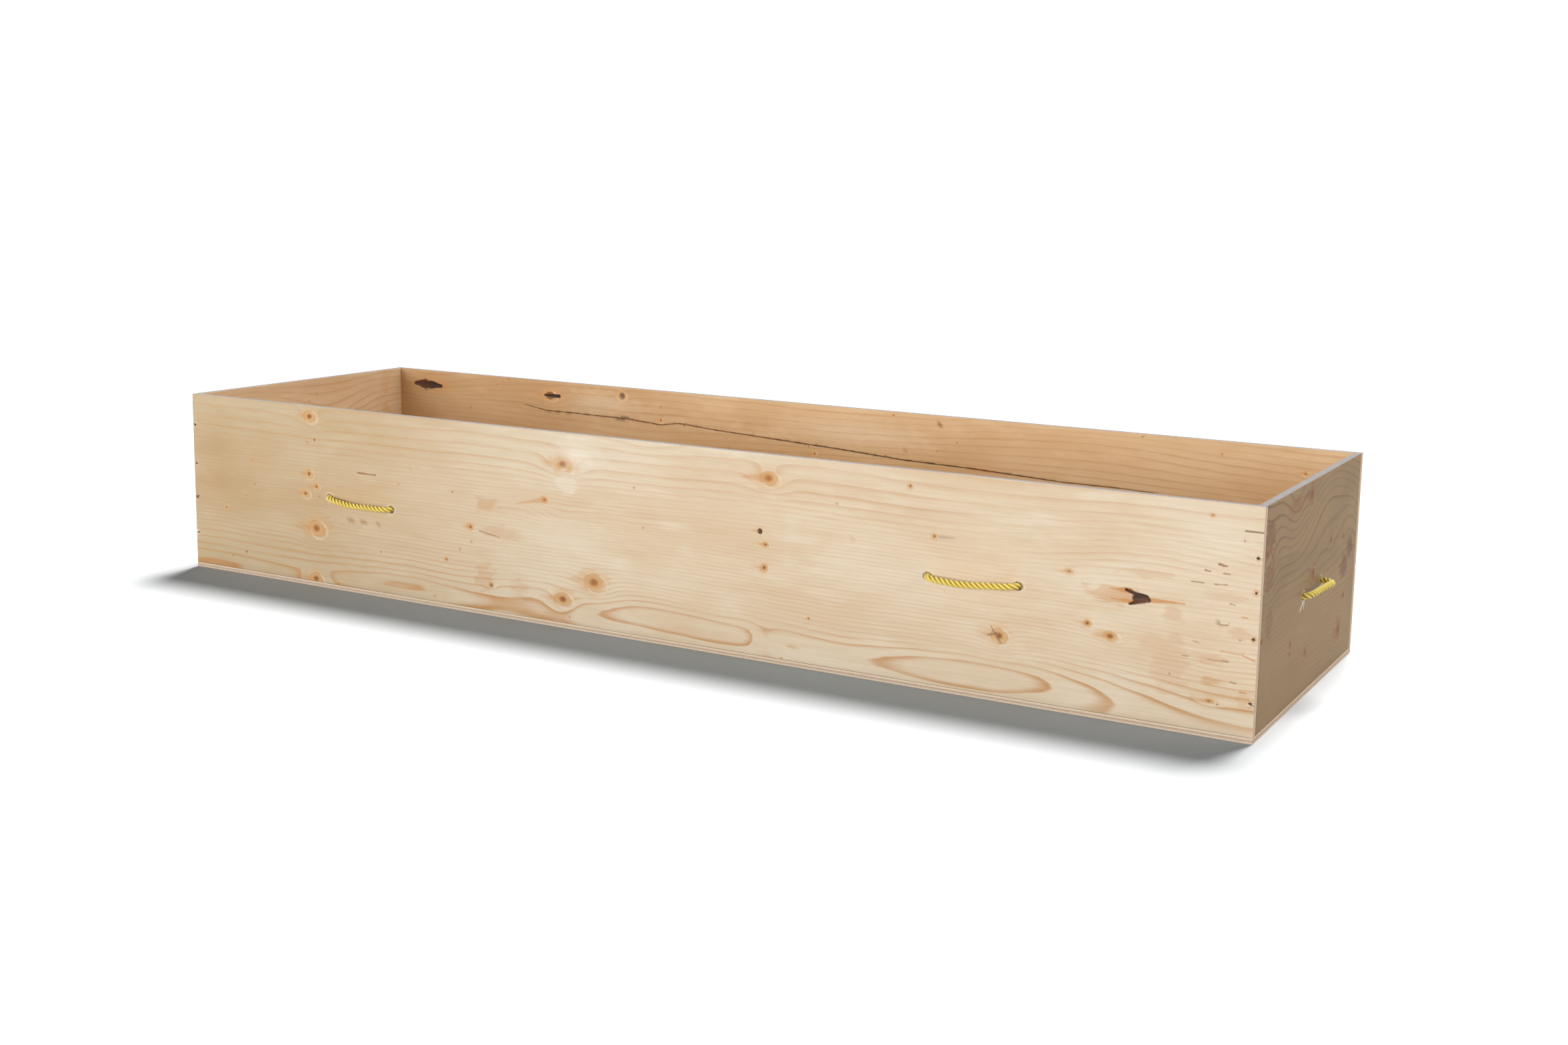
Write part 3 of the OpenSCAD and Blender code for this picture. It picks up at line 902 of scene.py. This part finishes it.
def pineMaterial(name, along, tones):
    material, tree = newTree(name)
    paint = tintAll(woodTones)
    place = put(tree, "TexCoord").outputs["Object"]
    grain = put(tree, "SeparateXYZ", {0: put(tree, "Attribute", attribute_name="grain").outputs["Vector"]})
    marks = put(tree, "Attribute", attribute_name="marks")
    split = put(tree, "SeparateColor", {0: marks.outputs["Color"]})
    phase, strength, knot = grain.outputs
    orange, pale, dark = split.outputs

    def grained(runs, wide):  # a stretch vector: how often a pattern changes along and across the grain
        stretch = [wide, wide, wide]
        stretch[along] = runs
        return stretch

    blotch = noise(tree, place, grained(2.2, 7), 4, 0.6, 0.4)
    cloud = noise(tree, place, grained(9, 26), 3, 0.6)
    fibres = noise(tree, place, grained(9, 520), 3, 0.65)
    streaks = noise(tree, place, grained(5, 120), 4, 0.6)
    pores = noise(tree, place, grained(70, 1500), 1, 0.5)
    specks = noise(tree, place, grained(240, 600), 2, 0.5)
    base = mixed(tree, ease(tree, blotch, 0.3, 0.72), tint(*tones["light"]), tint(*tones["deep"]))
    base = mixed(tree, ease(tree, cloud, 0.52, 0.75, 0, 0.35), base, tint(*tones["pale"]))
    base = mixed(tree, ease(tree, streaks, 0.45, 0.75, 0, 0.14), base, tint(*tones["streak"]))
    # the board is tanner towards its left
    reach = put(tree, "SeparateXYZ", {0: place}).outputs[0]
    farLeft = ease(tree, reach, tones["drift"][1], tones["drift"][0])
    base = mixed(tree, farLeft, base, tint(*tones["left"]), "MULTIPLY")
    # each ring darkens slowly and ends in a sharper line
    steady = times(tree, sums(tree, "MAXIMUM", strength, 0.38), 14)
    shake = sums(tree, "DIVIDE", sums(tree, "SUBTRACT", streaks, 0.5), steady)
    shaken = sums(tree, "ADD", phase, shake)
    part = sums(tree, "FRACT", shaken)
    number = sums(tree, "FLOOR", shaken)
    own = put(tree, "TexWhiteNoise", {"W": number}, noise_dimensions="1D").outputs[0]
    rise = sums(tree, "POWER", ease(tree, part, 0.2, 0.9), sums(tree, "MULTIPLY_ADD", strength, 5.0, 0.6))
    line = times(tree, rise, ease(tree, part, 0.99, 0.9))
    patchy = ease(tree, noise(tree, place, grained(5, 22), 3, 0.6), 0.3, 0.65, 0.5, 1)
    gain = times(tree, times(tree, strength, patchy), sums(tree, "MULTIPLY_ADD", own, 0.5, 0.65))
    ringAmount = sums(tree, "MULTIPLY", times(tree, line, gain), tones["ringStrength"], clamp=True)
    base = mixed(tree, ringAmount, base, tint(*tones["ring"]))
    fibreTone = mixed(tree, ease(tree, fibres, 0.3, 0.7), paint["fibre"], paint["fibreLight"])
    base = mixed(tree, 0.4, base, fibreTone, "MULTIPLY")
    poreAmount = times(tree, ease(tree, pores, 0.66, 0.74), 0.22)
    base = mixed(tree, poreAmount, base, tint(*tones["ring"]))
    speckAmount = ease(tree, specks, 0.74, 0.8, 0, 0.35)
    base = mixed(tree, speckAmount, base, paint["speck"])
    # knots: a brown heart in a tan body, a thin outline, pale wood round it and an orange smear
    smear = times(tree, ease(tree, knot, 2.4, 1.0), ease(tree, cloud, 0.35, 0.6, 0.1, 0.5))
    base = mixed(tree, smear, base, paint["smear"])
    whirl = sums(tree, "ADD", times(tree, knot, 21), times(tree, cloud, 9))
    turns = sums(tree, "MULTIPLY_ADD", sums(tree, "SINE", whirl), 0.5, 0.5)
    aged = marks.outputs["Alpha"]
    body = mixed(tree, turns, paint["whirl"], paint["whirlDeep"])
    body = mixed(tree, ease(tree, knot, 0.72, 0.2, 0, 0.95), body, paint["heart"])
    body = mixed(tree, times(tree, ease(tree, knot, 0.45, 0.05), aged), body, paint["core"])
    body = mixed(tree, times(tree, ease(tree, aged, 0.68, 1), ease(tree, knot, 1.1, 0.8)),
                 body, mixed(tree, turns, paint["dead"], paint["deadDeep"]))
    base = mixed(tree, ease(tree, knot, 1.2, 0.75), base, body)
    outline = ease(tree, sums(tree, "ABSOLUTE", sums(tree, "SUBTRACT", knot, 1.05)), 0.14, 0.0)
    outline = times(tree, outline, ease(tree, cloud, 0.35, 0.6, 0.1, 0.5))
    base = mixed(tree, outline, base, paint["outline"])
    # resin, pale patches and splits painted point by point; the dark share also carries painted shade at the
    # rope-hole rims, the screw openings and the walls' bottom edges, and the shade inside the splits
    base = mixed(tree, times(tree, orange, 0.9), base, paint["resin"])
    # painted shade: the face's colour is multiplied darker, as if it stood in shade; only the right end's
    # outer face gets it, and the pale marks laid after it stay bright
    base = mixed(tree, 1.0, base, tint(*tones["paintedShade"]), "MULTIPLY")
    paleTone = mixed(tree, ease(tree, fibres, 0.35, 0.65), paint["torn"], paint["tornLight"])
    base = mixed(tree, times(tree, pale, 0.85), base, paleTone)
    darkMarkAndShadeTone = mixed(tree, ease(tree, cloud, 0.4, 0.65), paint["split"], paint["splitLight"])
    base = mixed(tree, dark, base, darkMarkAndShadeTone)
    height = sums(tree, "ADD", times(tree, fibres, 0.5), times(tree, line, 0.35))
    height = sums(tree, "SUBTRACT", height, times(tree, pores, 0.5))
    bump = put(tree, "Bump", {"Height": height, "Strength": 0.35, "Distance": 0.25 * mm}).outputs[0]
    rough = sums(tree, "MULTIPLY_ADD", fibres, 0.2, 0.5)
    shader = put(tree, "BsdfPrincipled", {"Base Color": base, "Roughness": rough, "Normal": bump})
    shader.inputs["Specular IOR Level"].default_value = 0.35
    closeTree(tree, shader)
    return material


def edgeMaterial(name, node, thin, weathered):
    low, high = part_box(node)
    material, tree = newTree(name)
    place = put(tree, "TexCoord").outputs["Object"]
    axes = put(tree, "SeparateXYZ", {0: place})
    wander = noise(tree, place, (30, 30, 30), 3, 0.6)
    depth = sums(tree, "SUBTRACT", axes.outputs[thin], low[thin])
    plies = boardLook["basePlies"] if thin == 2 else boardLook["plies"]
    depth = sums(tree, "DIVIDE", depth, (high[thin] - low[thin]) / plies)
    depth = sums(tree, "ADD", depth, times(tree, sums(tree, "SUBTRACT", wander, 0.5), 0.12))
    odd = sums(tree, "MODULO", sums(tree, "FLOOR", depth), 2)
    seam = sums(tree, "PINGPONG", depth, 0.5)
    fineStretch = [160, 160, 160]
    fineStretch[thin] = 900
    streaks = noise(tree, place, fineStretch, 3, 0.6)
    ends = noise(tree, place, (900, 900, 900), 2, 0.6)
    paint = tintAll(weathered)
    longGrain = mixed(tree, ease(tree, streaks, 0.3, 0.7), paint["long"], paint["longDeep"])
    endGrain = mixed(tree, ease(tree, ends, 0.35, 0.65), paint["end"], paint["endDeep"])
    base = mixed(tree, odd, longGrain, endGrain)
    base = mixed(tree, ease(tree, seam, 0.06, 0.0, 0, 0.6), base, paint["glue"])
    # the rim has greyed
    rim = ease(tree, axes.outputs[2], cadBox[1][2] - 2.5 * mm, cadBox[1][2] - 0.6 * mm)
    grey = mixed(tree, ease(tree, streaks, 0.35, 0.65), paint["rim"], paint["rimDeep"])
    base = mixed(tree, times(tree, rim, ease(tree, wander, 0.2, 0.5, 0.55, 0.85)), base, grey)
    height = sums(tree, "ADD", streaks, times(tree, ends, 0.6))
    bump = put(tree, "Bump", {"Height": height, "Strength": 0.5, "Distance": 0.4 * mm}).outputs[0]
    shader = put(tree, "BsdfPrincipled", {"Base Color": base, "Roughness": 0.75, "Normal": bump})
    closeTree(tree, shader)
    return material


outerTones = {
    "light": (240, 225, 201), "deep": (228, 204, 170), "pale": (247, 237, 219), "streak": (222, 194, 155),
    "ring": (206, 150, 92), "ringStrength": 0.9, "left": (226, 218, 200), "drift": (-1.0, 0.1),
    "paintedShade": (255, 255, 255),
}
innerTones = dict(outerTones, light=(221, 192, 153), deep=(206, 170, 125), pale=(236, 210, 174),
                  left=(236, 230, 222), ring=(176, 116, 64), ringStrength=0.5)
toneChanges = {
    # the right end's outer face carries painted shade, darker than the same wood on the other faces
    "right_end_outer": {"light": (239, 215, 177), "deep": (208, 186, 150), "streak": (186, 160, 128),
                        "ring": (150, 100, 64), "ringStrength": 0.75, "drift": (-4, -3),
                        "paintedShade": (168, 153, 128)},
    # painted light: the left end's inner face is lighter than the other inner faces and skips their tanning
    # towards the left
    "left_end_inner": {"light": (224, 194, 156), "deep": (214, 182, 144), "pale": (230, 206, 174),
                       "drift": (-4, -3)},
    "base_inner": {"light": (232, 210, 178), "deep": (220, 192, 154)},
}
edgeTones = {
    "long": (238, 220, 196), "longDeep": (226, 204, 176), "end": (214, 188, 166), "endDeep": (196, 164, 138),
    "glue": (140, 108, 82), "rim": (152, 151, 155), "rimDeep": (116, 119, 129),
}


screwTones = {"steel": (62, 56, 52), "rust": (104, 66, 42)}


def screwMaterial():
    material, tree = newTree("screw_phosphated")
    paint = tintAll(screwTones)
    place = put(tree, "TexCoord").outputs["Object"]
    rust = noise(tree, place, (700, 700, 700), 3, 0.6)
    base = mixed(tree, ease(tree, rust, 0.45, 0.65), paint["steel"], paint["rust"])
    closeTree(tree, put(tree, "BsdfPrincipled", {"Base Color": base, "Roughness": 0.7}))
    return material


start, deep = boardLook["drillStart"], boardLook["ropeDrill"]
holeR, lipR = boardLook["ropeHole"] / 2, boardLook["screwLip"] / 2
headR, shankR, sink = boardLook["screwHead"] / 2, boardLook["screwShank"] / 2, boardLook["screwSink"]
screwOutline = [
    (0, start), (lipR, start), (lipR, sink / 3), (headR, sink - 0.05), (headR, sink),
    (shankR, sink + headR - shankR), (shankR, boardLook["screwDepth"]), (0, boardLook["screwDepth"]),
]
for node, (thin, along, outward, outerLook, innerLook) in boards.items():
    across = 3 - thin - along
    low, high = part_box(node)
    cutter = bmesh.new()
    holes, screws = [], []
    for name, (quarter, reach, height, tilt, route) in handlePlaces.items():
        if (quarter % 2 == 0) == (thin == 1) and thin != 2 and (quarter in (1, 2)) == (outward > 0):
            placed = handleMatrix(quarter, reach, height, tilt)
            for end in (route[0], route[-1]):
                mouth = placed @ Matrix.Translation((end[0], 0, end[2]))
                addCutter(cutter, mouth, [(0, start), (holeR, start), (holeR, deep), (0, deep)])
                holes.append((mouth.translation[along] / mm, mouth.translation[across] / mm))
    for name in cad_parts:
        if "_screw_" not in name or thin == 2:
            continue
        screwLow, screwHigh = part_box(name)
        middle = [(a + b) / 2 for a, b in zip(screwLow, screwHigh)]
        atFront = middle[1] < 0
        if thin == 1 and atFront != (outward < 0) or thin == 0 and (middle[0] < 0) != (outward < 0):
            continue
        quarter = 0 if atFront else 2
        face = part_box("base")[0 if atFront else 1][1]
        turned = Matrix.Rotation(math.pi / 2 * quarter, 4, "Z")
        placed = Matrix.Translation((middle[0], face, middle[2])) @ turned
        addCutter(cutter, placed, screwOutline)
        if thin == 1:
            screws.append((middle[along] / mm, middle[across] / mm))
    sides = [(outward > 0, outerLook, holes, screws), (outward < 0, innerLook, holes, [])]
    bm = boardShape(node, thin, along, sides)
    if cutter.verts:
        mesh = drillBoard(node + "_board", bm, cutter)
    else:
        mesh = bpy.data.meshes.new(node + "_board")
        bm.to_mesh(mesh)
        bm.free()
        cutter.free()
    newPiece(node + "_board", mesh, "pine_plywood", node)
    mesh.materials.clear()
    for sideName, tones in (("outer", outerTones), ("inner", innerTones)):
        name = node + "_" + sideName
        mesh.materials.append(pineMaterial(name, along, dict(tones, **toneChanges.get(name, {}))))
    mesh.materials.append(edgeMaterial(node + "_edge", node, thin, edgeTones))
    paintBoard(mesh, node, thin, along, sides)
    smoothShade(mesh, 35)
    print(node, "made,", len(mesh.polygons), "faces")

screwSteel = screwMaterial()
for name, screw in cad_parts.items():
    if "_screw_" in name:
        for place in screw.material_slots:
            place.material = screwSteel
print("screws coloured")


# ---- floor, light and setting ----
lightLook = {
    "sky": 0.18,
    "floorSeen": (206, 221, 236),  # the floor as the camera sees it, under a lamp of its own
    "floorBounce": (122, 122, 122),  # the floor as it lights the object
    # name: direction the light comes from, strength, softness in degrees, what it lights, colour
    "lamps": {
        "frontLamp": ((-0.3, -1.0, 0.12), 2.9, 35, "object", (1, 1, 1)),
        "backLamp": ((-0.06, 0.5, 1.0), 2.55, 20, "object", (1, 1, 1)),
        "sideLamp": ((1.0, -0.05, 0.3), 1.4, 40, "object", (1, 1, 1)),
        "floorLamp": ((0.0, 0.5, 1.0), 6.6, 22, "floor", (1, 0.853, 0.735)),
    },
}


def seenByEye(tree):  # 1 for rays from the camera, or seen in a reflection or through glass
    path = put(tree, "LightPath")
    seen = sums(tree, "MAXIMUM", path.outputs["Is Camera Ray"], path.outputs["Is Glossy Ray"])
    return sums(tree, "MAXIMUM", seen, path.outputs["Is Transmission Ray"])


def makeFloor(look):
    bm = bmesh.new()
    bmesh.ops.create_circle(bm, cap_ends=True, segments=96, radius=60)
    mesh = bpy.data.meshes.new("floor")
    bm.to_mesh(mesh)
    bm.free()
    floor = bpy.data.objects.new("floor", mesh)
    bpy.context.scene.collection.objects.link(floor)
    material, tree = newTree("studio_floor")
    paint = mixed(tree, seenByEye(tree), tint(*look["floorBounce"]), tint(*look["floorSeen"]))
    closeTree(tree, put(tree, "BsdfDiffuse", {"Color": paint}))
    mesh.materials.append(material)
    return floor


def makeLights(look, floor):
    # lamps light either the floor alone or all but the floor; every shadow is kept
    reached = {}
    for use, state in (("floor", "INCLUDE"), ("object", "EXCLUDE")):
        reached[use] = bpy.data.collections.new("lit_" + use)
        reached[use].objects.link(floor)
        reached[use].collection_objects[0].light_linking.link_state = state
    world = bpy.data.worlds.new("studio")
    bpy.context.scene.world = world
    world.use_nodes = True
    tree = world.node_tree
    tree.nodes.clear()
    strength = sums(tree, "MULTIPLY_ADD", seenByEye(tree), 1 - look["sky"], look["sky"])
    back = put(tree, "Background", {"Color": (1, 1, 1, 1), "Strength": strength})
    output = put(tree, "OutputWorld", {"Surface": back.outputs[0]})
    output.is_active_output = True
    for name, (source, power, softness, use, colour) in look["lamps"].items():
        data = bpy.data.lights.new(name, "SUN")
        data.energy = power
        data.color = colour
        data.angle = math.radians(softness)
        lamp = bpy.data.objects.new(name, data)
        lamp.light_linking.receiver_collection = reached[use]
        lamp.matrix_world = Vector(source).to_track_quat("Z", "Y").to_matrix().to_4x4()
        bpy.context.scene.collection.objects.link(lamp)


makeLights(lightLook, makeFloor(lightLook))
bpy.context.scene.view_settings.view_transform = "Standard"
print("floor and lights made")
